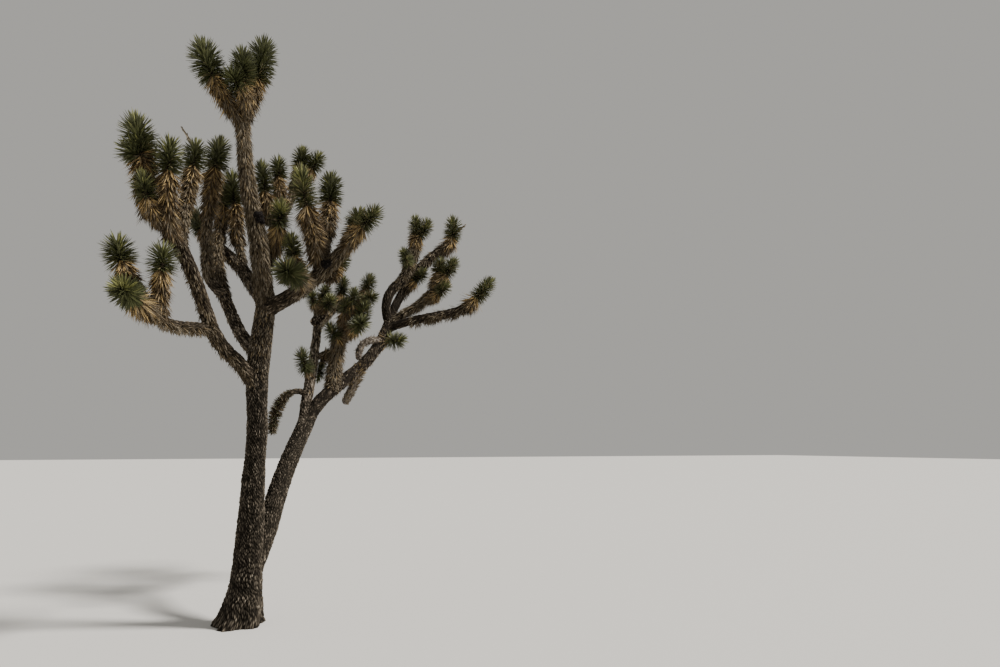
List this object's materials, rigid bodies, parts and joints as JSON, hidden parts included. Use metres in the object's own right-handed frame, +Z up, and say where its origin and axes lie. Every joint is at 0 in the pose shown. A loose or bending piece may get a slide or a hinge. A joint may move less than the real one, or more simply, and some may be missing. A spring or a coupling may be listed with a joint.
{
  "type": "joshua tree",
  "caption": "Whole joshua tree with a root flare, a main crown, a second leaning stem with a crown of its own, and dagger-leaved heads on shaggy skirts of dead leaves.",
  "frame": {"origin": "centre of the main trunk's flat cut at ground level", "axes": "+Z up along the trunk, +X to the viewer's right, where the second stem leans, and +Y away from the viewer"},
  "size_m": [4.2236, 3.5252, 5.9341],
  "materials": {
    "bark": "rough dark grey-brown bark in small upright plates, with a thatch of dead leaves higher up",
    "dead_wood": "bare weathered grey wood, dull",
    "foliage": "stiff dull green dagger leaves over golden to grey-brown dead ones"
  },
  "bodies": {
    "root": {"trunk": "bark", "leader": "bark", "left_bough": "bark", "left_arm": "bark", "inner_left_bough": "bark", "inner_left_branch": "bark", "back_left_bough": "bark", "right_bough": "bark", "back_right_bough": "bark", "second_stem": "bark", "second_stem_left_bough": "bark", "second_stem_right_bough": "bark", "column_bough": "bark", "upper_left_arm": "bark", "upper_middle_arm": "bark", "upper_right_arm": "bark", "far_right_arm": "bark", "crossing_branch": "bark", "drooping_dead_limb": "dead_wood", "curled_dead_limb": "dead_wood", "hanging_dead_limb": "dead_wood", "foliage_top_left": "foliage", "foliage_top_right": "foliage", "foliage_top_front": "foliage", "foliage_left_high": "foliage", "foliage_left_middle": "foliage", "foliage_left_front": "foliage", "foliage_left_inner": "foliage", "foliage_inner_left": "foliage", "foliage_inner_back": "foliage", "foliage_far_left": "foliage", "foliage_arm_middle": "foliage", "foliage_arm_tip": "foliage", "foliage_back_left": "foliage", "foliage_centre_back": "foliage", "foliage_behind_leader": "foliage", "foliage_right_back": "foliage", "foliage_right_back_pair": "foliage", "foliage_centre_front": "foliage", "foliage_right_inner": "foliage", "foliage_right_high": "foliage", "foliage_right_middle": "foliage", "foliage_right_shoot": "foliage", "foliage_right_end": "foliage", "foliage_right_low": "foliage", "foliage_second_left_top": "foliage", "foliage_second_left_side": "foliage", "foliage_column_top": "foliage", "foliage_column_middle": "foliage", "foliage_column_front": "foliage", "foliage_second_left_low": "foliage", "foliage_second_left_hanging": "foliage", "foliage_second_knee": "foliage", "foliage_upper_left": "foliage", "foliage_upper_left_low": "foliage", "foliage_upper_middle_low": "foliage", "foliage_upper_middle": "foliage", "foliage_upper_right": "foliage", "foliage_upper_right_low": "foliage", "foliage_far_right": "foliage"}
  },
  "joints": []
}
